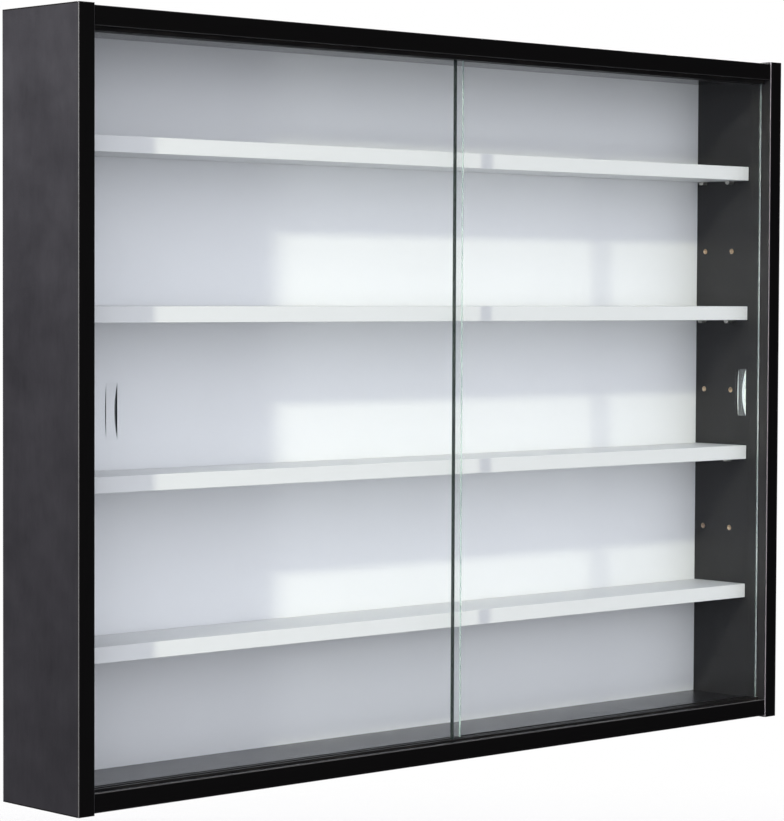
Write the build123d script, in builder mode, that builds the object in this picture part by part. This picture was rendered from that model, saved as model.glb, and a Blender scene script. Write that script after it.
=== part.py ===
from build123d import *
import os

os.makedirs("parts", exist_ok=True)

# Shallow wall-hung display case with two sliding glass panes.
# X runs to the right, Y into the wall, Z up. The origin is on the wall plane, midway between the
# round entry holes of the two hanger plates. The rear rim of the case lies on Y = 0.

# ---- the case
case_width = 800
case_height = 600
case_depth = 95
board = 15                   # thickness of the side, top and bottom panels
band = 1                     # edge band on the front edges and on the ends of the sides
reveal = 1.5                 # the sides stand this much proud of the top and bottom panels
setback = 0.5                # and their front edges this much in front
hanger_drop = 60             # from the top of the case down to the hanger holes

inner_x = case_width / 2 - board
outer_x = case_width / 2
front_y = -case_depth
top_z = hanger_drop
bottom_z = top_z - case_height
roof_z = top_z - reveal                  # upper face of the top panel
ceiling_z = roof_z - board               # its underside
base_z = bottom_z + reveal               # underside of the bottom panel
floor_z = base_z + board                 # its upper face
panel_front_y = front_y + setback        # front of the top and bottom panels' bands

# ---- back panel, held in a groove all round
back_thickness = 2.5
groove_width = 2.7
groove_depth = 3.0
groove_rear_lip = 3.3                    # board left behind the groove
groove_front_y = -groove_rear_lip - groove_width
groove_mid_y = -groove_rear_lip - groove_width / 2
back_engagement = 2.7

# ---- double tracks and the panes in them
glass = 4.0
channel = 5.0
track_wall = 1.5
track_divider = 2.0
track_web = 1.0
track_setback = 8.0                      # from the front of the case to the front wall of a track
track_width = 2 * track_wall + 2 * channel + track_divider
track_mid_y = front_y + track_setback + track_width / 2
lane_pitch = channel + track_divider     # from one pane's middle plane to the other's
front_lane_y = track_mid_y - lane_pitch / 2
rear_lane_y = track_mid_y + lane_pitch / 2
top_track_height = 10.0
top_track_sunk = 7.0                     # let into the board, the rest shows as a lip
bottom_track_height = 5.5
bottom_track_sunk = 4.0
runner_z = floor_z - bottom_track_sunk + track_web       # the panes stand here
channel_ceiling_z = ceiling_z + top_track_sunk - track_web
lift_room = 5.2                          # space above a pane, so that it can be lifted out
pane_height = channel_ceiling_z - lift_room - runner_z
pane_width = 389.5
pane_gap = 0.5                           # between a closed pane and the side panel
left_door_ajar = 4.0                     # the left pane stands this far open at rest
pull_offset = 24.0                       # from a pane's outer edge to the middle of its pull
pull_width = 10.5
pull_length = 43.0
pull_depth = 2.2                         # ground this deep into the face
pane_arris = 0.4

# ---- shelves, pins and the rows of pin holes
shelf_count = 4
shelf_thickness = 12.5
shelf_band = 0.6
shelf_front_y = front_y + 27
shelf_gap = 0.5
row_pitch = 64
row_count = 7
lowest_row_z = bottom_z + case_height / 2 - row_pitch * (row_count - 1) / 2
front_column_y = front_y + 47
rear_column_y = front_y + 79
pin_hole_diameter = 5.0
pin_hole_depth = 9.0
pin_diameter = 4.9
pin_length = 15.5
pin_in_board = 8.0
pin_flat = 0.8                           # the flat under the shelf lies this far above the pin's axis
shelf_rows = [6, 4, 2, 0]                # rows that hold shelves, from the top shelf down

# ---- corner fittings
dowel_diameter = 8.0
dowel_length = 30.0
dowel_hole_diameter = 8.1
dowel_in_side = 10.0
dowel_columns_y = (front_y + 33, front_y + 79)
cam_y = front_y + 56
cam_distance = 24.0                      # from the panel's end to the middle of the cam
cam_x = inner_x - cam_distance
cam_hole_diameter = 15.0
cam_hole_depth = 12.0
cam_diameter = 14.8
cam_height = 11.4
cam_cover_sink = 0.4
bolt_thread_length = 8.0
bolt_hole_depth = 8.5
bolt_hole_diameter = 5.1
bolt_bore_diameter = 7.4
hole_relief = 0.5                        # spare depth past the end of a dowel
roof_mid_z = roof_z - board / 2
base_mid_z = base_z + board / 2

# ---- hangers
hanger_x = inner_x + board / 2
hanger_width = 12.0
hanger_height = 44.0
hanger_thickness = 1.5
hanger_gap = 0.1
hanger_corner = 2.9
keyhole_radius = 3.75
keyhole_slot_radius = 2.1
keyhole_rise = 9.0
head_pocket_radius = 3.9
head_pocket_depth = 6.5
hanger_screw_z = 16.0
screw_radius = 1.7
screw_head_radius = 3.1
screw_length = 20.0
screw_hole_radius = 1.75

pin_columns = (front_column_y, rear_column_y)
corner_heights = (roof_mid_z, base_mid_z)
sides = (-1, 1)                          # the left side of the case and the right one


def save(piece, name):
    """Labels a finished piece and writes it to its own STEP file."""
    piece.label = name
    export_step(piece, f"parts/{name}.step")


def inner_face(side):
    """A side's inner face, its normal pointing out of the case. Its own x is side * Y, and its y is Z."""
    return Plane(origin=(side * inner_x, 0, 0), x_dir=(0, side, 0), z_dir=(side, 0, 0))


def on_face(side, depths, heights):
    """Points on a side's inner face, at these Y positions and heights."""
    return [(side * y, z) for y in depths for z in heights]


def row_z(row):
    """Height of one row of pin holes, counted from the lowest."""
    return lowest_row_z + row * row_pitch


def shelf_bottom(row):
    """Underside of a shelf that rests on the pins of this row."""
    return row_z(row) + pin_flat


# ---- side panels
def side_panel(side):
    """One side board. side is -1 for the left one and 1 for the right one."""
    core_height = case_height - 2 * band
    core_depth = case_depth - band
    all_rows = [row_z(row) for row in range(row_count)]
    rear_edge = Plane(origin=(side * hanger_x, 0, 0), x_dir=(1, 0, 0), z_dir=(0, -1, 0))
    with BuildPart() as panel:
        with BuildSketch(Plane.XY.offset(bottom_z + band)):
            with Locations((side * (inner_x + board / 2), -core_depth / 2)):
                Rectangle(board, core_depth)
        extrude(amount=core_height)
        # groove for the back panel
        with BuildSketch(Plane.XY.offset(bottom_z + band)):
            with Locations((side * (inner_x + groove_depth / 2), groove_mid_y)):
                Rectangle(groove_depth, groove_width)
        extrude(amount=core_height, mode=Mode.SUBTRACT)
        # blind bores in the inner face: shelf pins, dowels and cam bolts
        with BuildSketch(inner_face(side)):
            with Locations(on_face(side, pin_columns, all_rows)):
                Circle(pin_hole_diameter / 2)
        extrude(amount=pin_hole_depth, mode=Mode.SUBTRACT)
        with BuildSketch(inner_face(side)):
            with Locations(on_face(side, dowel_columns_y, corner_heights)):
                Circle(dowel_hole_diameter / 2)
        extrude(amount=dowel_in_side + hole_relief, mode=Mode.SUBTRACT)
        with BuildSketch(inner_face(side)):
            with Locations(on_face(side, [cam_y], corner_heights)):
                Circle(bolt_hole_diameter / 2)
        extrude(amount=bolt_hole_depth, mode=Mode.SUBTRACT)
        # seat of the hanger plate, pocket for the wall screw's head, and pilot bores
        with BuildSketch(rear_edge):
            seat_width = hanger_width + 2 * hanger_gap
            seat_height = hanger_height + 2 * hanger_gap
            RectangleRounded(seat_width, seat_height, hanger_corner + hanger_gap)
        extrude(amount=hanger_thickness, mode=Mode.SUBTRACT)
        with BuildSketch(rear_edge.offset(hanger_thickness)):
            with Locations((0, keyhole_rise / 2)):
                SlotOverall(keyhole_rise + 2 * head_pocket_radius, 2 * head_pocket_radius, rotation=90)
        extrude(amount=head_pocket_depth, mode=Mode.SUBTRACT)
        with BuildSketch(rear_edge.offset(hanger_thickness)):
            with Locations((0, hanger_screw_z), (0, -hanger_screw_z)):
                Circle(screw_hole_radius)
        extrude(amount=screw_length, mode=Mode.SUBTRACT)
    return panel.part


save(side_panel(-1), "left_side_panel")
save(side_panel(1), "right_side_panel")


# ---- top and bottom panels
def cross_panel(low_z, inward, track_sunk):
    """A board between the sides. inward is -1 if its inner face looks down, and 1 if it looks up."""
    middle_z = low_z + board / 2
    inner_z = middle_z + inward * board / 2
    core_front_y = panel_front_y + band
    with BuildPart() as panel:
        with BuildSketch(Plane.XY.offset(low_z)):
            with Locations((0, core_front_y / 2)):
                Rectangle(2 * inner_x, -core_front_y)
        extrude(amount=board)
        # grooves for the track and for the back panel
        with BuildSketch(Plane.XY.offset(inner_z)):
            with Locations((0, track_mid_y)):
                Rectangle(2 * inner_x, track_width)
        extrude(amount=-inward * track_sunk, mode=Mode.SUBTRACT)
        with BuildSketch(Plane.XY.offset(inner_z)):
            with Locations((0, groove_mid_y)):
                Rectangle(2 * inner_x, groove_width)
        extrude(amount=-inward * groove_depth, mode=Mode.SUBTRACT)
        # cam seats in the hidden face, dowel and bolt bores in the two ends
        with BuildSketch(Plane.XY.offset(middle_z - inward * board / 2)):
            with Locations([(side * cam_x, cam_y) for side in sides]):
                Circle(cam_hole_diameter / 2)
        extrude(amount=inward * cam_hole_depth, mode=Mode.SUBTRACT)
        for side in sides:
            with BuildSketch(inner_face(side)):
                with Locations(on_face(side, dowel_columns_y, [middle_z])):
                    Circle(dowel_hole_diameter / 2)
            extrude(amount=-(dowel_length - dowel_in_side + hole_relief), mode=Mode.SUBTRACT)
            with BuildSketch(inner_face(side)):
                with Locations(on_face(side, [cam_y], [middle_z])):
                    Circle(bolt_bore_diameter / 2)
            extrude(amount=-(cam_distance - cam_hole_diameter / 4), mode=Mode.SUBTRACT)
    return panel.part


save(cross_panel(ceiling_z, -1, top_track_sunk), "top_panel")
save(cross_panel(base_z, 1, bottom_track_sunk), "bottom_panel")


# ---- edge bands
def side_front_band(side):
    """The long band on the front edge of a side, its two upright arrises rounded."""
    with BuildPart() as strip:
        with BuildSketch(Plane.XY.offset(bottom_z)):
            with Locations((side * (inner_x + board / 2), front_y + band / 2)):
                Rectangle(board, band)
        extrude(amount=case_height)
        front_face = strip.faces().sort_by(Axis.Y)[0]
        fillet(front_face.edges().filter_by(Axis.Z), radius=0.7)
    return strip.part


def panel_front_band(low_z):
    """The band on the front edge of the top or bottom panel, its two long arrises rounded."""
    with BuildPart() as strip:
        with BuildSketch(Plane.XY.offset(low_z)):
            with Locations((0, panel_front_y + band / 2)):
                Rectangle(2 * inner_x, band)
        extrude(amount=board)
        front_face = strip.faces().sort_by(Axis.Y)[0]
        fillet(front_face.edges().filter_by(Axis.X), radius=0.7)
    return strip.part


save(side_front_band(-1), "left_front_band")
save(side_front_band(1), "right_front_band")
save(panel_front_band(ceiling_z), "top_front_band")
save(panel_front_band(base_z), "bottom_front_band")

with BuildPart() as side_end_bands:
    for start_z in (bottom_z, top_z - band):
        with BuildSketch(Plane.XY.offset(start_z)):
            with Locations([(side * (inner_x + board / 2), (front_y + band) / 2) for side in sides]):
                Rectangle(board, case_depth - band)
        extrude(amount=band)
save(side_end_bands.part, "side_end_bands")

# ---- back panel
back_width = 2 * (inner_x + back_engagement)
back_low_z = floor_z - back_engagement
back_high_z = ceiling_z + back_engagement
with BuildPart() as back_panel:
    with BuildSketch(Plane.XZ.offset(-(groove_mid_y + back_thickness / 2))):
        with Locations((0, (back_low_z + back_high_z) / 2)):
            Rectangle(back_width, back_high_z - back_low_z)
    extrude(amount=back_thickness)
save(back_panel.part, "back_panel")


# ---- tracks
def double_track(web_z, height, inward):
    """Two channels side by side, the web at web_z and the walls running inward (-1 down, 1 up)."""
    channel_mid_z = web_z + inward * (height + track_web) / 2
    with BuildPart() as track:
        with BuildSketch(Plane.YZ.offset(-inner_x)):
            with Locations((track_mid_y, web_z + inward * height / 2)):
                Rectangle(track_width, height)
            with Locations((front_lane_y, channel_mid_z), (rear_lane_y, channel_mid_z)):
                Rectangle(channel, height - track_web, mode=Mode.SUBTRACT)
        extrude(amount=2 * inner_x)
    return track.part


save(double_track(ceiling_z + top_track_sunk, top_track_height, -1), "top_track")
save(double_track(floor_z - bottom_track_sunk, bottom_track_height, 1), "bottom_track")

# ---- shelves, with their front bands
shelf_width = 2 * (inner_x - shelf_gap)
shelf_rear_y = groove_front_y - shelf_gap
shelf_core_front_y = shelf_front_y + shelf_band
for number, row in enumerate(shelf_rows, start=1):
    with BuildPart() as shelf:
        with BuildSketch(Plane.XY.offset(shelf_bottom(row))):
            with Locations((0, (shelf_core_front_y + shelf_rear_y) / 2)):
                Rectangle(shelf_width, shelf_rear_y - shelf_core_front_y)
        extrude(amount=shelf_thickness)
    save(shelf.part, f"shelf_{number}")
    with BuildPart() as shelf_strip:
        with BuildSketch(Plane.XY.offset(shelf_bottom(row))):
            with Locations((0, shelf_front_y + shelf_band / 2)):
                Rectangle(shelf_width, shelf_band)
        extrude(amount=shelf_thickness)
        shelf_face = shelf_strip.faces().sort_by(Axis.Y)[0]
        fillet(shelf_face.edges().filter_by(Axis.X), radius=0.4)
    save(shelf_strip.part, f"shelf_{number}_band")

# ---- shelf pins: pegs with the upper half of the free end cut to a flat
pin_free_length = pin_length - pin_in_board
flat_mid_x = inner_x - pin_free_length / 2
with BuildPart() as shelf_pins:
    for side in sides:
        with BuildSketch(inner_face(side).offset(pin_in_board)):
            with Locations(on_face(side, pin_columns, [row_z(row) for row in shelf_rows])):
                Circle(pin_diameter / 2)
        extrude(amount=-pin_length)
    chamfer(shelf_pins.edges().filter_by(GeomType.CIRCLE), length=0.4)
    for row in shelf_rows:
        with BuildSketch(Plane.XY.offset(shelf_bottom(row))):
            with Locations([(side * flat_mid_x, y) for side in sides for y in pin_columns]):
                Rectangle(pin_free_length, pin_diameter)
        extrude(amount=pin_diameter, mode=Mode.SUBTRACT)
save(shelf_pins.part, "shelf_pins")

# ---- corner dowels
with BuildPart() as corner_dowels:
    for side in sides:
        with BuildSketch(inner_face(side).offset(dowel_in_side)):
            with Locations(on_face(side, dowel_columns_y, corner_heights)):
                Circle(dowel_diameter / 2)
        extrude(amount=-dowel_length)
    chamfer(corner_dowels.edges().filter_by(GeomType.CIRCLE), length=0.8)
save(corner_dowels.part, "corner_dowels")


# ---- cam bolts, cams and cover caps, one of each at every corner
# A cam bolt's stretches from the side's inner face inwards: start, length and radius.
bolt_stretches = [
    (-bolt_thread_length, bolt_thread_length, 2.5),     # thread in the side
    (0.0, 2.0, 3.5),                                    # collar
    (2.0, 14.0, 2.75),                                  # shank
    (16.0, 6.5, 2.0),                                   # neck
    (22.5, 3.0, 3.4),                                   # head
]
with BuildPart() as cam_bolts:
    for side in sides:
        for start, length, radius in bolt_stretches:
            with BuildSketch(inner_face(side).offset(-start)):
                with Locations(on_face(side, [cam_y], corner_heights)):
                    Circle(radius)
            extrude(amount=-length)
save(cam_bolts.part, "cam_bolts")

# A cam is hollow: a chamber for the bolt's head, a slot for its neck, and a mouth where the head goes in.
chamber_radius = 3.8
chamber_length = 3.8
chamber_past_axis = 2.0
neck_slot_radius = 2.3
driver_slot = (7.0, 1.4, 2.0)            # length, width and depth of each arm of the cross recess
outer_faces = ((roof_z, 1), (base_z, -1))        # the top and bottom panels' hidden faces, and their normals
with BuildPart() as cam_discs:
    for face_z, outward in outer_faces:
        axis_z = face_z - outward * board / 2
        cam_top = Plane.XY.offset(face_z - outward * (cam_cover_sink + 0.1))
        for side in sides:
            with BuildSketch(cam_top):
                with Locations((side * cam_x, cam_y)):
                    Circle(cam_diameter / 2)
            extrude(amount=-outward * cam_height)
            across = Plane(origin=(side * cam_x, cam_y, axis_z), x_dir=(0, side, 0), z_dir=(side, 0, 0))
            with BuildSketch(across.offset(-chamber_past_axis)):
                Circle(chamber_radius)
            extrude(amount=chamber_length, mode=Mode.SUBTRACT)
            with BuildSketch(across):
                Circle(neck_slot_radius)
            extrude(amount=cam_diameter, mode=Mode.SUBTRACT)
            chamber_mid_x = side * (cam_x - chamber_past_axis + chamber_length / 2)
            with BuildSketch(Plane(origin=(chamber_mid_x, cam_y, axis_z), x_dir=(1, 0, 0), z_dir=(0, -1, 0))):
                Rectangle(chamber_length, 2 * chamber_radius)
            extrude(amount=cam_diameter, mode=Mode.SUBTRACT)
            with BuildSketch(cam_top):
                with Locations((side * cam_x, cam_y)):
                    Rectangle(driver_slot[0], driver_slot[1])
                    Rectangle(driver_slot[1], driver_slot[0])
            extrude(amount=-outward * driver_slot[2], mode=Mode.SUBTRACT)
save(cam_discs.part, "cam_discs")

cap_overlap = 1.25
cap_thickness = 0.8
with BuildPart() as cam_caps:
    for face_z, outward in outer_faces:
        for radius, height in (
            (cam_hole_diameter / 2 + cap_overlap, outward * cap_thickness),
            (cam_diameter / 2, -outward * cam_cover_sink),
        ):
            with BuildSketch(Plane.XY.offset(face_z)):
                with Locations([(side * cam_x, cam_y) for side in sides]):
                    Circle(radius)
            extrude(amount=height)
save(cam_caps.part, "cam_caps")


# ---- hanger plates and their screws
def hanger_plate(side):
    """Steel keyhole plate, flush with the rear edge of a side."""
    rear_edge = Plane(origin=(side * hanger_x, 0, 0), x_dir=(1, 0, 0), z_dir=(0, 1, 0))
    inner_side = rear_edge.offset(-hanger_thickness)
    with BuildPart() as plate:
        with BuildSketch(inner_side):
            RectangleRounded(hanger_width, hanger_height, hanger_corner)
            Circle(keyhole_radius, mode=Mode.SUBTRACT)
            with Locations((0, -keyhole_rise / 2)):
                SlotOverall(
                    keyhole_rise + 2 * keyhole_slot_radius,
                    2 * keyhole_slot_radius,
                    rotation=90,
                    mode=Mode.SUBTRACT,
                )
        extrude(amount=hanger_thickness)
        with Locations(rear_edge):
            with Locations((0, hanger_screw_z), (0, -hanger_screw_z)):
                CounterSinkHole(radius=screw_radius + 0.1, counter_sink_radius=screw_head_radius + 0.1)
    return plate.part


save(hanger_plate(-1), "left_hanger_plate")
save(hanger_plate(1), "right_hanger_plate")

# countersunk screws: a cone down to the shank, a drill point at the end and a cross recess
head_cone = screw_head_radius - screw_radius
screw_tip = 3.0
recess_arm = (3.2, 0.8, 1.2)             # length, width and depth of each arm of the cross recess
with BuildPart() as hanger_screws:
    for side in sides:
        for z in (-hanger_screw_z, hanger_screw_z):
            with BuildSketch(Plane(origin=(side * hanger_x, 0, z), x_dir=(1, 0, 0), z_dir=(0, 0, 1))):
                with BuildLine():
                    Polyline(
                        (0, 0),
                        (screw_head_radius, 0),
                        (screw_radius, -head_cone),
                        (screw_radius, -screw_length + screw_tip),
                        (0, -screw_length),
                        close=True,
                    )
                make_face()
            revolve(axis=Axis((side * hanger_x, 0, z), (0, 1, 0)))
            with BuildSketch(Plane(origin=(side * hanger_x, 0, z), x_dir=(1, 0, 0), z_dir=(0, -1, 0))):
                Rectangle(recess_arm[0], recess_arm[1])
                Rectangle(recess_arm[1], recess_arm[0])
            extrude(amount=recess_arm[2], mode=Mode.SUBTRACT)
save(hanger_screws.part, "hanger_screws")

# ---- glass panes
# A pull is the cut of a grinding wheel into the front face: a chord of the wheel on the face,
# the wheel's arc inside the glass, and two flat walls across.
wheel_radius = ((pull_length / 2) ** 2 + pull_depth**2) / (2 * pull_depth)


def glass_pane(left_edge_x, pull_x, lane_y):
    """One pane standing in a lane of the tracks."""
    pane_mid_z = runner_z + pane_height / 2
    pane_front_y = lane_y - glass / 2
    with BuildPart() as pane:
        with BuildSketch(Plane.XY.offset(runner_z)):
            with Locations((left_edge_x + pane_width / 2, lane_y)):
                Rectangle(pane_width, glass)
        extrude(amount=pane_height)
        chamfer(pane.edges().filter_by(Axis.Y, reverse=True), length=pane_arris)
        with BuildSketch(Plane.YZ.offset(pull_x - pull_width / 2)):
            with Locations((pane_front_y + pull_depth - wheel_radius, pane_mid_z)):
                Circle(wheel_radius)
        extrude(amount=pull_width, mode=Mode.SUBTRACT)
    return pane.part


left_pane_x = -inner_x + pane_gap + left_door_ajar
right_pane_x = inner_x - pane_gap - pane_width
save(glass_pane(left_pane_x, left_pane_x + pull_offset, rear_lane_y), "left_glass")
save(glass_pane(right_pane_x, right_pane_x + pane_width - pull_offset, front_lane_y), "right_glass")

# ---- what the record quotes
print("panes", pane_width, "x", round(pane_height, 2), "x", glass)
print("left pane can go right", round(inner_x - pane_gap - pane_width - left_pane_x, 2))
print("left pane can go left", left_door_ajar)
print("right pane can go left", round(right_pane_x + inner_x - pane_gap, 2))
print("lowest row of pin holes", lowest_row_z, "grinding wheel radius", round(wheel_radius, 1))
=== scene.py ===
import math

import bpy
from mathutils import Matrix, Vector


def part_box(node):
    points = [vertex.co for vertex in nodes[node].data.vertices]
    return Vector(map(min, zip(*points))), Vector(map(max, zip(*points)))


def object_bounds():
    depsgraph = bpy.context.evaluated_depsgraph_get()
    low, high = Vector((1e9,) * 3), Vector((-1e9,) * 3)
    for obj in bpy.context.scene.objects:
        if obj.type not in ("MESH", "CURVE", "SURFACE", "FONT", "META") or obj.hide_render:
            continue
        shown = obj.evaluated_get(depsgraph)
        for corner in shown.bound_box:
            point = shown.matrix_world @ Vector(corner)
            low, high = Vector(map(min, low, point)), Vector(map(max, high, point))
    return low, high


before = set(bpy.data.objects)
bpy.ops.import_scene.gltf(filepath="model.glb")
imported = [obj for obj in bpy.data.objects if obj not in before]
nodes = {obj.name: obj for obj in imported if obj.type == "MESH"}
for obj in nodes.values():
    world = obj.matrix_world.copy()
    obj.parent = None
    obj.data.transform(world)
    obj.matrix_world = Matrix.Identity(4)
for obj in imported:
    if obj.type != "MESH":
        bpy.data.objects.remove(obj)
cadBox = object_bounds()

mm = 0.001
caseLow, caseHigh = cadBox
caseMiddle = (caseLow + caseHigh) / 2


class Signal:
    # one value in a node tree: arithmetic on it adds Math nodes
    def __init__(self, finish, socket):
        self.finish = finish
        self.socket = socket

    def maths(self, operation, first, second=0.0):
        return self.finish.node("Math", {"operation": operation}, {0: first, 1: second})

    def __add__(self, other):
        return self.maths("ADD", self, other)

    def __sub__(self, other):
        return self.maths("SUBTRACT", self, other)

    def __rsub__(self, other):
        return self.maths("SUBTRACT", other, self)

    def __mul__(self, other):
        return self.maths("MULTIPLY", self, other)

    def __pow__(self, other):
        return self.maths("POWER", self, other)

    def __gt__(self, other):
        return self.maths("GREATER_THAN", self, other)

    def __lt__(self, other):
        return self.maths("LESS_THAN", self, other)

    def __abs__(self):
        return self.maths("ABSOLUTE", self)

    __radd__ = __add__
    __rmul__ = __mul__

    def most(self, other):
        return self.maths("MAXIMUM", self, other)

    def other(self, name):
        # another output of the node this value comes from
        return Signal(self.finish, self.socket.node.outputs[name])


class Finish:
    # the nodes of one material, or of the world
    def __init__(self, owner):
        self.owner = owner
        owner.use_nodes = True
        self.tree = owner.node_tree
        self.tree.nodes.clear()

    def node(self, kind, settings=None, sockets=None, output=0):
        # settings go in first, because they change which sockets a node has
        made = self.tree.nodes.new("ShaderNode" + kind)
        for name, value in (settings or {}).items():
            if name == "stops":
                elements = made.color_ramp.elements     # two of them to begin with
                for place, colour in value[2:]:
                    elements.new(place)
                for element, (place, colour) in zip(elements, value):
                    element.position = place
                    element.color = (*colour, 1)
            else:
                setattr(made, name, value)
        for key, value in (sockets or {}).items():
            socket = made.inputs[key]
            if isinstance(value, Signal):
                self.tree.links.new(value.socket, socket)
            elif socket.type == "RGBA":
                socket.default_value = (*value, 1)
            else:
                socket.default_value = value
        return Signal(self, made.outputs[output] if made.outputs else None)

    def place(self):
        # metres in the case's own frame; it moves with a sliding pane
        return self.node("TexCoord").other("Object")

    def facing(self):
        return self.split(self.node("TexCoord").other("Normal"))

    def split(self, vector):
        x = self.node("SeparateXYZ", sockets={0: vector})
        return x, x.other("Y"), x.other("Z")

    def stretched(self, vector, scale):
        return self.node("VectorMath", {"operation": "MULTIPLY"}, {0: vector, 1: scale})

    def noise(self, vector, size, detail=3.0, roughness=0.5, distortion=0.0):
        # size is the width of the largest blotch, in metres
        return self.node("TexNoise", sockets={
            "Vector": vector, "Scale": 1 / size, "Detail": detail,
            "Roughness": roughness, "Distortion": distortion})

    def cells(self, vector, size):
        return self.node("TexVoronoi", sockets={"Vector": vector, "Scale": 1 / size})

    def fade(self, value, low, high, toLow=0.0, toHigh=1.0):
        return self.node("MapRange", {"interpolation_type": "SMOOTHSTEP"}, {
            "Value": value, "From Min": low, "From Max": high, "To Min": toLow, "To Max": toHigh})

    def mix(self, amount, first, second):
        return self.node("Mix", {"data_type": "RGBA"}, {0: amount, 6: first, 7: second}, 2)

    def dim(self, colour, brightness):
        # colour times a number that varies over the surface
        return self.node("VectorMath", {"operation": "SCALE"}, {0: colour, "Scale": brightness})

    def ramp(self, value, stops):
        return self.node("ValToRGB", {"stops": stops}, {0: value})

    def bump(self, height, depth):
        return self.node("Bump", sockets={"Height": height, "Distance": depth, "Strength": 1.0})

    def plain(self, **sockets):
        named = {name.replace("_", " "): value for name, value in sockets.items()}
        return self.node("BsdfPrincipled", sockets=named)

    def blend(self, amount, first, second):
        return self.node("MixShader", sockets={0: amount, 1: first, 2: second})

    def end(self, shader, body=None):
        ends = {"Surface": shader}
        if body:
            ends["Volume"] = body
        self.node("OutputMaterial", sockets=ends)
        return self.owner


def newFinish(name):
    return Finish(bpy.data.materials.new(name))


def dress(name, material):
    # gives a CAD node a finished material in each of its slots
    for slot in nodes[name].material_slots:
        slot.material = material


chipboard = {
    "flakeColours": [(0.0, (0.27, 0.18, 0.115)), (0.35, (0.54, 0.42, 0.31)), (1.0, (0.82, 0.71, 0.58))],
    "flakeSize": 1.6 * mm,
    "flakeStretch": (0.6, 1.0, 1.0),
    "dustSize": 0.35 * mm,
    "relief": 3,                        # how many times deeper than the laminate's embossing
    "roughness": 0.85,
}


def chipboardCore(f, place):
    # pressed flakes and dust, as the cut edge and the bores of a board show them
    flakes = f.cells(f.stretched(place, chipboard["flakeStretch"]), chipboard["flakeSize"])
    dust = f.noise(place, chipboard["dustSize"], 4.0, 0.7)
    flakeShade = f.split(flakes.other("Color"))[0]
    colour = f.ramp(flakeShade * 0.6 + dust * 0.5, chipboard["flakeColours"])
    height = flakes.other("Distance") * 0.6 + dust * 0.4
    return colour, height


def boardFinish(name, node, axis, look):
    # laminate on the two faces square to axis, chipboard wherever the board is cut or bored
    f = newFinish(name)
    place = f.place()
    low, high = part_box(node)
    along = f.split(place)[axis]
    fromMiddle = abs(along - (low[axis] + high[axis]) / 2)
    skin = fromMiddle > (high[axis] - low[axis]) / 2 - look["skin"]
    clouds = f.noise(place, look["cloudSize"], 4.0, 0.55)
    pores = f.noise(place, look["grainSize"], 3.0, 0.65)
    grain = f.noise(f.stretched(place, look["grainRun"]), look["streakSize"], 5.0, 0.6, 0.4)
    shade = 1 + (clouds - 0.5) * look["cloudiness"] + (grain - 0.5) * look["streakiness"]
    shade = shade + (pores - 0.5) * look["speckle"]
    dust = f.fade(f.noise(place, look["dustSize"], 2.0, 0.8), *look["dustSpread"])
    laminate = f.dim(look["colour"], shade)
    laminate = f.mix(dust * look["dust"], laminate, look["dustColour"])
    core, coreHeight = chipboardCore(f, place)
    roughness = look["roughness"] + (clouds - 0.5) * look["cloudGloss"] + (pores - 0.5) * look["poreGloss"]
    skinHeight = pores * 0.7 + grain * 0.3
    height = skin * skinHeight + (1 - skin) * coreHeight * chipboard["relief"]
    surface = f.plain(
        Base_Color=f.mix(skin, core, laminate),
        Roughness=skin * roughness + (1 - skin) * chipboard["roughness"],
        Specular_IOR_Level=look["shine"],
        Normal=f.bump(height, look["embossing"]))
    return f.end(surface)


charcoalLaminate = {
    "colour": (0.0077, 0.0073, 0.0087),
    "skin": 0.3 * mm,
    "cloudSize": 42 * mm,
    "cloudiness": 0.7,
    "grainSize": 0.6 * mm,
    "grainRun": (1.0, 1.0, 0.12),       # the grain runs up the sides
    "streakSize": 3 * mm,
    "streakiness": 0.30,
    "speckle": 0.35,
    "dust": 0.10,
    "dustSize": 0.9 * mm,
    "dustSpread": (0.72, 0.80),
    "dustColour": (0.16, 0.16, 0.165),
    "roughness": 0.34,
    "cloudGloss": 0.12,                 # how much the clouds and the pores change the roughness
    "poreGloss": 0.08,
    "shine": 0.4,
    "embossing": 0.05 * mm,
}

whiteLaminate = {
    "colour": (0.76, 0.765, 0.76),
    "skin": 0.3 * mm,
    "cloudSize": 120 * mm,
    "cloudiness": 0.03,
    "grainSize": 0.7 * mm,
    "grainRun": (0.15, 1.0, 1.0),
    "streakSize": 4 * mm,
    "streakiness": 0.03,
    "speckle": 0.04,
    "dust": 0.06,
    "dustSize": 0.9 * mm,
    "dustSpread": (0.72, 0.80),
    "dustColour": (0.50, 0.48, 0.45),
    "roughness": 0.42,
    "cloudGloss": 0.12,
    "poreGloss": 0.08,
    "shine": 0.4,
    "embossing": 0.03 * mm,
}

for board in ("left_side_panel", "right_side_panel"):
    dress(board, boardFinish("charcoal_" + board, board, 0, charcoalLaminate))
acrossLook = dict(charcoalLaminate, grainRun=(0.12, 1.0, 1.0), roughness=0.24, shine=0.65)
ceilingLook = dict(acrossLook, roughness=0.14, shine=0.9)
dress("top_panel", boardFinish("charcoal_top_panel", "top_panel", 2, ceilingLook))
dress("bottom_panel", boardFinish("charcoal_bottom_panel", "bottom_panel", 2, acrossLook))
shelves = [name for name in sorted(nodes) if name.startswith("shelf_") and name[6:].isdigit()]
for board in shelves:
    dress(board, boardFinish("white_" + board, board, 2, whiteLaminate))
print("boards finished:", len(shelves), "shelves and four case panels")


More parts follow.
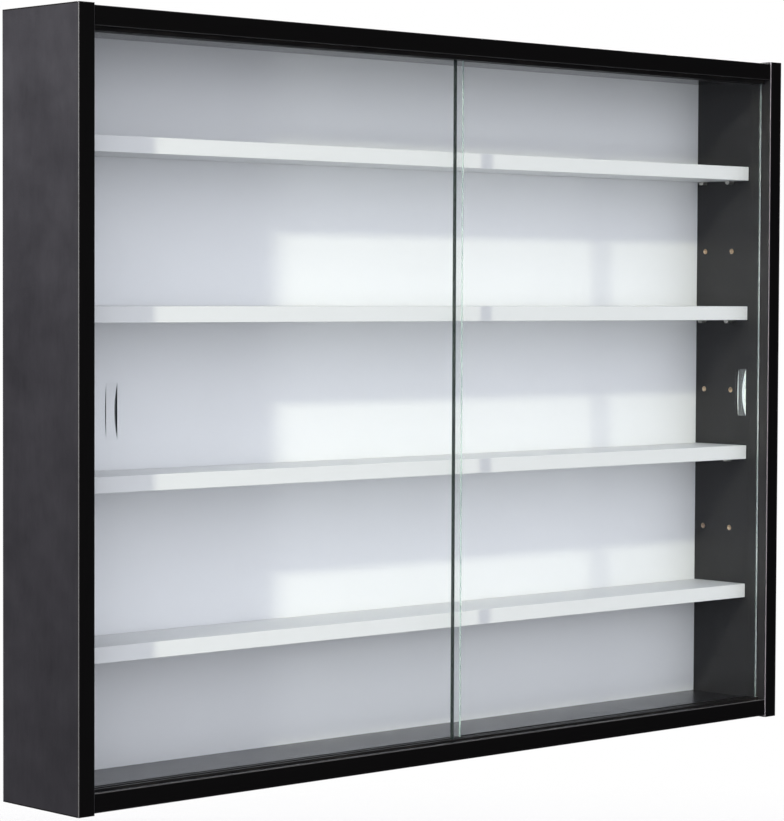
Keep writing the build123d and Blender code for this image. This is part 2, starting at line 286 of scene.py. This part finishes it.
bandLook = {
    "colour": (0.0030, 0.0028, 0.0029),
    "wearAndHighlightColour": (0.15, 0.147, 0.15),
    "wearAndHighlightWidth": 0.9 * mm,
    "wearAndHighlight": 0.9,
    "wearAndHighlightPatches": (0.10, 0.48),        # the lower these two, the less of the arris is left without wear and painted highlight
    "rubbedSize": 14 * mm,
    "nickSize": 1.6 * mm,
    "streakiness": 0.35,
    "roughness": 0.36,
    "shine": 0.12,
    "grainSize": 1.2 * mm,
    "poreSize": 0.5 * mm,
    "embossing": 0.02 * mm,
}

whiteBandLook = {
    "colour": (0.80, 0.80, 0.79),
    "wearAndHighlightColour": (0.66, 0.65, 0.63),
    "wearAndHighlightWidth": 0.5 * mm,
    "wearAndHighlight": 0.35,
    "wearAndHighlightPatches": (0.30, 0.62),
    "rubbedSize": 14 * mm,
    "nickSize": 1.6 * mm,
    "streakiness": 0.05,
    "roughness": 0.40,
    "shine": 0.35,
    "grainSize": 1.2 * mm,
    "poreSize": 0.5 * mm,
    "embossing": 0.015 * mm,
}


def bandFinish(name, node, run, look):
    # a plastic strip along run, paler along the two long front arrises: handling wear, and on the black bands
    # also a painted highlight where the arris catches the light
    f = newFinish(name)
    place = f.place()
    low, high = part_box(node)
    axis = run.index(min(run))
    cross = 2 if axis == 0 else 0
    along = f.split(place)
    toArris = (high[cross] - low[cross]) / 2 - abs(along[cross] - (low[cross] + high[cross]) / 2)
    toFront = along[1] - low[1]
    corner = toArris.most(toFront)
    rubbed = f.noise(place, look["rubbedSize"], 5.0, 0.65)
    nicks = f.noise(place, look["nickSize"], 3.0, 0.7)
    patches = f.fade(rubbed * 0.7 + nicks * 0.3, *look["wearAndHighlightPatches"])
    # paler arris: partly handling wear, partly a painted highlight along the rounded arris
    wornAndHighlit = f.fade(corner, 0.0, look["wearAndHighlightWidth"], 1.0, 0.0) * patches
    lines = f.noise(f.stretched(place, run), look["grainSize"], 4.0, 0.6)
    pores = f.noise(place, look["poreSize"], 2.0, 0.6)
    shade = 1 + ((lines - 0.5) + (pores - 0.5) * 0.6) * look["streakiness"]
    colour = f.mix(wornAndHighlit * look["wearAndHighlight"], f.dim(look["colour"], shade), look["wearAndHighlightColour"])
    surface = f.plain(
        Base_Color=colour,
        Roughness=look["roughness"] + (lines - 0.5) * 0.16 + wornAndHighlit * 0.15,
        Specular_IOR_Level=look["shine"],
        Normal=f.bump(lines * 0.6 + pores * 0.4, look["embossing"]))
    return f.end(surface)


upright = (1.0, 1.0, 0.05)
crosswise = (0.05, 1.0, 1.0)
frontBands = {      # which way each runs, how strongly its arrises show wear and painted highlight, and how pale they are there
    "left_front_band": (upright, 0.55, (0.15, 0.147, 0.15)),
    "right_front_band": (upright, 0.95, (0.27, 0.25, 0.28)),
    "top_front_band": (crosswise, 0.25, (0.15, 0.147, 0.15)),
    "bottom_front_band": (crosswise, 0.65, (0.15, 0.147, 0.15)),
}
for band, (run, wearAndHighlight, paleWearAndHighlight) in frontBands.items():
    dress(band, bandFinish("black_" + band, band, run, dict(bandLook, wearAndHighlight=wearAndHighlight, wearAndHighlightColour=paleWearAndHighlight)))
dress("side_end_bands", bandFinish("black_side_end_bands", "side_end_bands", crosswise, bandLook))
shelfBands = [shelf + "_band" for shelf in shelves]
for band in shelfBands:
    dress(band, bandFinish("white_" + band, band, crosswise, whiteBandLook))
print("edge bands finished:", len(frontBands) + 1 + len(shelfBands))


backLook = {
    "lacquer": (0.895, 0.90, 0.905),
    "fibre": (0.23, 0.135, 0.065),
    "fibreLight": (0.34, 0.21, 0.11),
    "bundle": (0.13, 0.075, 0.038),     # dark bundles of fibre
    "bundles": 0.45,
    "lacquerDepth": 0.15 * mm,
    "cloudSize": 160 * mm,
    "cloudiness": 0.05,
    "rollerSize": 1.4 * mm,             # the roller's orange peel in the lacquer
    "rollerShade": 0.03,
    "fibreSize": 1.1 * mm,
    "bundleSize": 3.2 * mm,
    "roughness": 0.38,
    "boardRoughness": 0.72,
    "shine": 0.4,
    "relief": 0.06 * mm,
}


def backFinish():
    # rolled white lacquer in front, bare brown hardboard behind and on the edges
    f = newFinish("white_hardboard_back")
    place = f.place()
    low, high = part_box("back_panel")
    painted = f.split(place)[1] < low[1] + backLook["lacquerDepth"]
    clouds = f.noise(place, backLook["cloudSize"], 3.0, 0.5)
    roller = f.noise(f.stretched(place, (1.0, 1.0, 0.45)), backLook["rollerSize"], 3.0, 0.6)
    shade = 1 + (clouds - 0.5) * backLook["cloudiness"] + (roller - 0.5) * backLook["rollerShade"]
    lacquer = f.dim(backLook["lacquer"], shade)
    fibres = f.noise(f.stretched(place, (1.0, 1.0, 0.3)), backLook["fibreSize"], 6.0, 0.75, 1.5)
    bundles = f.fade(f.noise(place, backLook["bundleSize"], 4.0, 0.7, 2.0), 0.52, 0.68)
    board = f.mix(f.fade(fibres, 0.3, 0.7), backLook["fibre"], backLook["fibreLight"])
    board = f.mix(bundles * backLook["bundles"], board, backLook["bundle"])
    lacquerRoughness = backLook["roughness"] + (roller - 0.5) * 0.1
    surface = f.plain(
        Base_Color=f.mix(painted, board, lacquer),
        Roughness=painted * lacquerRoughness + (1 - painted) * backLook["boardRoughness"],
        Specular_IOR_Level=backLook["shine"],
        Normal=f.bump(painted * roller * 0.5 + (1 - painted) * fibres, backLook["relief"]))
    return f.end(surface)


dress("back_panel", backFinish())
print("back panel finished")


trackLook = {
    "colour": (0.008, 0.0076, 0.0076),
    "rubbedColour": (0.040, 0.032, 0.026),
    "rub": 0.6,
    "wall": 1.0 * mm,
    "edge": 0.5 * mm,                   # how soft the rubbed patches end at the walls
    "dieLineSize": 0.5 * mm,
    "dieLines": 0.6,
    "scuffSize": 2.5 * mm,
    "roughness": 0.33,
    "shine": 0.4,
    "relief": 0.03 * mm,
}


def trackFinish(name, node):
    # extruded plastic: die lines along its length, rubbed paler where the panes slide
    f = newFinish(name)
    place = f.place()
    low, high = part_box(node)
    z = f.split(place)[2]
    dieLines = f.noise(f.stretched(place, (0.004, 1.0, 1.0)), trackLook["dieLineSize"], 3.0, 0.6)
    scuffs = f.noise(f.stretched(place, (0.08, 1.0, 1.0)), trackLook["scuffSize"], 5.0, 0.7)
    inside = (high[2] - low[2]) / 2 - trackLook["wall"] - abs(z - (low[2] + high[2]) / 2)
    rubbed = f.fade(inside, -trackLook["edge"], trackLook["edge"]) * f.fade(scuffs, 0.45, 0.65)
    plastic = f.dim(trackLook["colour"], 1 + (dieLines - 0.5) * trackLook["dieLines"])
    surface = f.plain(
        Base_Color=f.mix(rubbed * trackLook["rub"], plastic, trackLook["rubbedColour"]),
        Roughness=trackLook["roughness"] + (dieLines - 0.5) * 0.2 + rubbed * 0.12,
        Specular_IOR_Level=trackLook["shine"],
        Normal=f.bump(dieLines, trackLook["relief"]))
    return f.end(surface)


for track in ("top_track", "bottom_track"):
    dress(track, trackFinish("black_" + track, track))
print("tracks finished")


glassLook = {
    "bend": 1.50,                           # index of refraction
    "depthTint": (0.40, 0.79, 0.71),        # green that builds up along the glass
    "depth": 8.0,                           # how fast it does, per metre
    "surfaceTint": (0.990, 0.992, 0.990),   # what each face lets through to the light inside
    # painted shade and painted light for the ground edges and the pull, standing for how light falls through
    # the glass
    "groundPaintedShade": (0.003, 0.012, 0.012),
    "groundPaintedLight": (0.42, 0.56, 0.54),
    "pullPaintedLight": (0.84, 0.93, 0.91),
    "groundClear": 0.45,                    # share of a ground surface that is still see-through
    "groundRoughness": 0.18,
    "frostRoughness": 0.25,
    "polished": 0.93,                       # how squarely a polished face looks front or back
    "arris": 0.45 * mm,
    "scratchSize": 0.7 * mm,
    "scratchDepth": 0.02 * mm,
    "smearSize": 40 * mm,
    "pullOffset": 24 * mm,                  # from a pane's outer edge to the middle of its pull
    "pullWidth": 10.5 * mm,
    "pullLength": 43 * mm,
    "pullDepth": 2.4 * mm,
    "pullRim": (0.2 * mm, 0.5 * mm),        # how far past its width and length its finish reaches
    "frontSkin": 0.05 * mm,                 # the polished face round the pull, left out of it
    "wheelMarkSize": 0.8 * mm,
    "crescentEdge": 0.4 * mm,
    "frosting": 0.8,                        # of the crescent along a pull's far wall
}


def paneFinish(name, node, pullSide, paintedLightAndFrost):
    # clear faces, ground edges and pull; the light-and-frost table gives the painted light and shade of the
    # left edge, the right edge and the pull, how frosted the wheel left the floor of the pull, and how far
    # the crescent reaches onto it
    f = newFinish(name)
    place = f.place()
    low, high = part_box(node)
    x, y, z = f.split(place)
    ground = abs(f.facing()[1]) < glassLook["polished"]
    leftEdge = x < low.x + glassLook["arris"]       # light comes from the left, so this edge casts a shadow
    scratches = f.noise(f.stretched(place, (1.0, 1.0, 0.2)), glassLook["scratchSize"], 4.0, 0.7)
    smears = f.noise(place, glassLook["smearSize"], 5.0, 0.6)

    outerEdge = high.x if pullSide > 0 else low.x
    pullX = outerEdge - pullSide * glassLook["pullOffset"]
    halfWidth = glassLook["pullWidth"] / 2
    halfLength = glassLook["pullLength"] / 2
    across = x - pullX
    upward = z - (low.z + high.z) / 2
    sideRim, endRim = glassLook["pullRim"]
    inPull = (abs(across) < halfWidth + sideRim) * (abs(upward) < halfLength + endRim)
    inPull = inPull * (y > low.y + glassLook["frontSkin"]) * (y < low.y + glassLook["pullDepth"])
    wheelMarks = f.noise(f.stretched(place, (1.0, 1.0, 0.05)), glassLook["wheelMarkSize"], 4.0, 0.7)
    # the crescent: frost along the pull's far wall that shows the pull's painted light, a painted highlight
    # on the right pane and painted shade on the left
    reach = (1 - upward * upward * (1 / halfLength ** 2)) * paintedLightAndFrost["crescent"]
    soft = glassLook["crescentEdge"]
    crescent = f.fade(across + reach, halfWidth - soft, halfWidth + soft)
    haze = inPull * (paintedLightAndFrost["haze"] + crescent * glassLook["frosting"] + (wheelMarks - 0.5) * paintedLightAndFrost["haze"])

    clear = f.node("BsdfGlass", sockets={
        "Color": (1.0, 1.0, 1.0), "Roughness": 0.0, "IOR": glassLook["bend"]})
    cut = f.node("BsdfGlass", sockets={
        "Color": (1.0, 1.0, 1.0), "Roughness": glassLook["groundRoughness"], "IOR": glassLook["bend"]})
    # painted light and shade along the ground glass, from the left edge's level to the right edge's, and the
    # pull's own level
    paintedLightLevel = f.fade(x, low.x, high.x, paintedLightAndFrost["left"], paintedLightAndFrost["right"])
    paintedLightLevel = paintedLightLevel * (1 - inPull) + inPull * paintedLightAndFrost["pull"]
    brightestPaintedLight = f.mix(inPull, glassLook["groundPaintedLight"], glassLook["pullPaintedLight"])
    paintedGroundShading = f.mix(paintedLightLevel, glassLook["groundPaintedShade"], brightestPaintedLight)
    # painted glints: scratches lightened towards the painted light, more where the edge is painted brighter
    paintedGlints = f.fade(scratches, 0.4, 0.7) * 0.2 * paintedLightLevel
    # frosted ground glass, coloured with the painted light and shade
    frost = f.plain(
        Base_Color=f.mix(paintedGlints, paintedGroundShading, glassLook["groundPaintedLight"]),
        Roughness=glassLook["frostRoughness"] + (scratches - 0.5) * 0.2 + smears * 0.05,
        Specular_IOR_Level=0.5,
        Normal=f.bump(scratches, glassLook["scratchDepth"]))
    edge = f.blend(glassLook["groundClear"], frost, cut)
    passing = f.node("BsdfTransparent", sockets={"Color": glassLook["surfaceTint"]})
    rays = f.node("LightPath")
    lightRay = rays.other("Is Shadow Ray").most(rays.other("Is Diffuse Ray"))
    seen = f.blend(ground, f.blend(haze, clear, frost), edge)
    body = f.node("VolumeAbsorption", sockets={
        "Color": glassLook["depthTint"], "Density": glassLook["depth"]})
    return f.end(f.blend(lightRay * (1 - leftEdge), seen, passing), body)


# left, right and pull are painted light and shade on each pane's ground glass; haze and crescent set the
# pull's frosting
leftPanePaintedLightAndFrost = {"left": 0.0, "right": 0.9, "pull": 0.02, "haze": 0.03, "crescent": 1.0 * mm}
rightPanePaintedLightAndFrost = {"left": 0.03, "right": 0.22, "pull": 1.0, "haze": 0.12, "crescent": 2.8 * mm}
dress("left_glass", paneFinish("left_pane_glass", "left_glass", -1, leftPanePaintedLightAndFrost))
dress("right_glass", paneFinish("right_pane_glass", "right_glass", 1, rightPanePaintedLightAndFrost))
print("panes finished")


turned = (1.0, 0.3, 0.3)                # rings round an axis along x
metals = {                              # tint is the colour of the dull patches
    "shelf_pins": {
        "name": "nickel_pin", "colour": (0.56, 0.54, 0.50), "tint": (0.46, 0.45, 0.43),
        "roughness": 0.28, "run": turned, "lineSize": 0.3 * mm, "spangle": 0.0},
    "cam_bolts": {
        "name": "zinc_bolt", "colour": (0.62, 0.63, 0.64), "tint": (0.55, 0.56, 0.60),
        "roughness": 0.36, "run": turned, "lineSize": 0.5 * mm, "spangle": 0.0},
    "hanger_screws": {
        "name": "zinc_screw", "colour": (0.62, 0.62, 0.60), "tint": (0.60, 0.56, 0.44),
        "roughness": 0.34, "run": (0.3, 1.0, 0.3), "lineSize": 0.5 * mm, "spangle": 0.0},
    "cam_discs": {
        "name": "cast_zinc_cam", "colour": (0.40, 0.40, 0.41), "tint": (0.32, 0.32, 0.33),
        "roughness": 0.52, "run": (1.0, 1.0, 1.0), "lineSize": 0.35 * mm, "spangle": 0.0},
}
for hanger in ("left_hanger_plate", "right_hanger_plate"):
    metals[hanger] = {
        "name": "zinc_" + hanger, "colour": (0.60, 0.62, 0.65), "tint": (0.52, 0.54, 0.58),
        "roughness": 0.32, "run": (1.0, 1.0, 0.06), "lineSize": 0.6 * mm, "spangle": 0.35}
lineDepth = 0.015 * mm
patchSize = 6 * mm
flowerSize = 2.2 * mm                   # of the zinc's spangle


def metalFinish(look):
    # tool or rolling lines, dull patches, and spangle on the plates
    f = newFinish(look["name"])
    place = f.place()
    lines = f.noise(f.stretched(place, look["run"]), look["lineSize"], 4.0, 0.65)
    patches = f.noise(place, patchSize, 3.0, 0.6)
    flowers = f.split(f.cells(place, flowerSize).other("Color"))[0]
    colours = f.mix(f.fade(patches, 0.35, 0.7), look["colour"], look["tint"])
    shade = 1 + (lines - 0.5) * 0.3 + (flowers - 0.5) * look["spangle"]
    surface = f.plain(
        Base_Color=f.dim(colours, shade),
        Metallic=1.0,
        Roughness=look["roughness"] + (lines - 0.5) * 0.25 + (patches - 0.5) * 0.1,
        Normal=f.bump(lines, lineDepth))
    return f.end(surface)


for fitting, look in metals.items():
    dress(fitting, metalFinish(look))


capLook = {
    "colour": (0.013, 0.013, 0.014),
    "rubbedColour": (0.045, 0.045, 0.047),
    "rub": 0.35,
    "sparkSize": 0.25 * mm,
    "rubbedSize": 5 * mm,
    "roughness": 0.52,
    "shine": 0.2,
    "relief": 0.03 * mm,
}


def capFinish():
    # moulded cap, with the spark-eroded skin of its mould
    f = newFinish("black_cap_plastic")
    place = f.place()
    spark = f.noise(place, capLook["sparkSize"], 3.0, 0.7)
    rubbed = f.fade(f.noise(place, capLook["rubbedSize"], 4.0, 0.6), 0.5, 0.75)
    surface = f.plain(
        Base_Color=f.mix(rubbed * capLook["rub"], capLook["colour"], capLook["rubbedColour"]),
        Roughness=capLook["roughness"] + (spark - 0.5) * 0.25 - rubbed * 0.12,
        Specular_IOR_Level=capLook["shine"],
        Normal=f.bump(spark, capLook["relief"]))
    return f.end(surface)


dress("cam_caps", capFinish())


dowelLook = {
    "grainColours": [(0.25, (0.40, 0.24, 0.12)), (0.6, (0.60, 0.41, 0.25)), (0.9, (0.70, 0.52, 0.34))],
    "fleckColour": (0.30, 0.16, 0.08),
    "grainSize": 0.9 * mm,
    "fleckSize": 0.5 * mm,
    "roughness": 0.62,
    "relief": 0.05 * mm,
}


def dowelFinish():
    # beech with its grain along the dowel and short dark flecks
    f = newFinish("beech_dowel")
    place = f.place()
    grain = f.noise(f.stretched(place, (0.06, 1.0, 1.0)), dowelLook["grainSize"], 5.0, 0.65, 0.6)
    flecks = f.fade(f.noise(f.stretched(place, (0.2, 1.0, 1.0)), dowelLook["fleckSize"], 2.0, 0.5), 0.62, 0.7)
    colour = f.ramp(grain, dowelLook["grainColours"])
    surface = f.plain(
        Base_Color=f.mix(flecks * 0.5, colour, dowelLook["fleckColour"]),
        Roughness=dowelLook["roughness"] + (grain - 0.5) * 0.2,
        Normal=f.bump(grain, dowelLook["relief"]))
    return f.end(surface)


dress("corner_dowels", dowelFinish())
print("fittings finished")


studio = {
    "floorDrop": 1.0,                   # the floor lies this far under the case
    "floorReach": (3.6, 6.0),           # it fades into the backdrop between these radii
    "floorSides": 96,
    "floorColour": (0.78, 0.78, 0.79),
    "floorCloudSize": 1.4,
    "floorCloudiness": 0.02,
    "floorRoughness": 0.7,
    "floorShine": 0.2,
    "backdrop": (1.0, 1.0, 1.0),
    "sky": (0.913, 0.92, 1.014),
    "skyStrength": 0.80,
    "skyEven": 0.53,                    # soft light from all round
    "skyFront": 1.62,                   # and more of it from the left front
    "skyFrontDirection": (-0.52, -0.80, 0.28),
    "skyFrontSpread": (0.0, 0.95),      # from none at right angles to that direction to all of it
    "skyHorizon": (-0.55, 0.25),        # the front light goes from none to all between these heights
    "skyMirrored": 0.07,                # how much of it shows in shiny surfaces
    "keyPlace": (-2.27, -0.71, 0.83),   # metres from the middle of the case
    "keyColour": (1.03, 0.985, 0.77),
    "keyPower": 8.4,
    "keyWidth": 0.08,
    "skimPlace": (-2.27, -0.71, 0.0),   # under the key, so both cast the same side shadow
    "skimColour": (1.0, 1.0, 1.0),
    "skimPower": 1.7,
    "skimWidth": 0.15,
    "sidePlace": (-1.60, 0.50, 1.50),   # a softbox behind the left side, which the inside doesn't see
    "sideColour": (0.97, 0.97, 1.0),
    "sidePower": 250.0,
    "sideWidth": 0.9,
    "fillPlace": (1.70, 0.75, 0.60),    # the same for the right side and the back
    "fillColour": (1.0, 0.99, 0.97),
    "fillPower": 90.0,
    "fillWidth": 1.1,
}


def makeFloor():
    # a round floor that fades into the white backdrop at its rim
    near, far = studio["floorReach"]
    height = caseLow.z - studio["floorDrop"]
    turns = [2 * math.pi * i / studio["floorSides"] for i in range(studio["floorSides"])]
    rim = [(far * math.cos(turn), far * math.sin(turn), height) for turn in turns]
    mesh = bpy.data.meshes.new("floor")
    mesh.from_pydata(rim, [], [tuple(range(len(rim)))])
    floor = bpy.data.objects.new("floor", mesh)
    bpy.context.collection.objects.link(floor)
    f = newFinish("pale_floor")
    place = f.place()
    clouds = f.noise(place, studio["floorCloudSize"], 4.0, 0.5)
    x, y = f.split(place)[:2]
    away = f.fade((x * x + y * y) ** 0.5, near, far)
    surface = f.plain(
        Base_Color=f.dim(studio["floorColour"], 1 + (clouds - 0.5) * studio["floorCloudiness"]),
        Roughness=studio["floorRoughness"] + (clouds - 0.5) * 0.1,
        Specular_IOR_Level=studio["floorShine"])
    gone = f.node("BsdfTransparent", sockets={"Color": (1.0, 1.0, 1.0)})
    mesh.materials.append(f.end(f.blend(away, surface, gone)))
    floor.visible_diffuse = False       # it throws no light back up under the shelves
    floor.visible_glossy = False


def makeSky():
    # white behind the case; as a light, a soft cool dome that is dim towards the lower right front
    world = bpy.data.worlds.new("studio")
    bpy.context.scene.world = world
    f = Finish(world)
    x, y, z = f.split(f.node("TexCoord").other("Generated"))
    frontX, frontY, frontZ = studio["skyFrontDirection"]
    front = f.fade(x * frontX + y * frontY + z * frontZ, *studio["skyFrontSpread"])
    front = front * f.fade(z, *studio["skyHorizon"])
    glow = studio["skyEven"] + front * studio["skyFront"]
    rays = f.node("LightPath")
    glow = glow * (1 - rays.other("Is Glossy Ray") * (1 - studio["skyMirrored"]))
    soft = f.node("Background", sockets={
        "Color": studio["sky"], "Strength": glow * studio["skyStrength"]})
    white = f.node("Background", sockets={"Color": studio["backdrop"], "Strength": 1.0})
    seen = rays.other("Is Camera Ray")
    f.node("OutputWorld", sockets={"Surface": f.blend(seen, soft, white)})


def makeLamp(name):
    # a round lamp that faces the middle of the case
    lamp = bpy.data.lights.new(name, "AREA")
    lamp.shape = "DISK"
    lamp.size = studio[name + "Width"]
    lamp.energy = studio[name + "Power"]
    lamp.color = studio[name + "Colour"]
    away = Vector(studio[name + "Place"])
    holder = bpy.data.objects.new(name, lamp)
    holder.rotation_mode = "QUATERNION"
    holder.rotation_quaternion = (-away).to_track_quat("-Z", "Y")
    holder.location = caseMiddle + away
    bpy.context.collection.objects.link(holder)
    return lamp


def makeSteady(lamp):
    # its light doesn't fall off over the width of the case
    f = Finish(lamp)
    steady = f.node("LightFalloff", sockets={"Strength": 1.0}).other("Constant")
    glow = f.node("Emission", sockets={"Color": (1.0, 1.0, 1.0), "Strength": steady})
    f.node("OutputLight", sockets={"Surface": glow})


makeFloor()
makeSky()
makeSteady(makeLamp("key"))
makeSteady(makeLamp("skim"))
makeLamp("side")
makeLamp("fill")
print("studio ready")


viewpoint = {
    "fromCase": (-1.7014, -1.7789, 0.0876),     # metres from the middle of the case
    "turn": (87.724, -0.246, -43.011),          # degrees
    "lens": 128.87,
}

lens = bpy.data.cameras.new("camera")
lens.lens = viewpoint["lens"]
camera = bpy.data.objects.new("camera", lens)
camera.location = caseMiddle + Vector(viewpoint["fromCase"])
camera.rotation_euler = [math.radians(angle) for angle in viewpoint["turn"]]
bpy.context.collection.objects.link(camera)
bpy.context.scene.camera = camera
bpy.context.scene.view_settings.view_transform = "Standard"
print("camera ready")
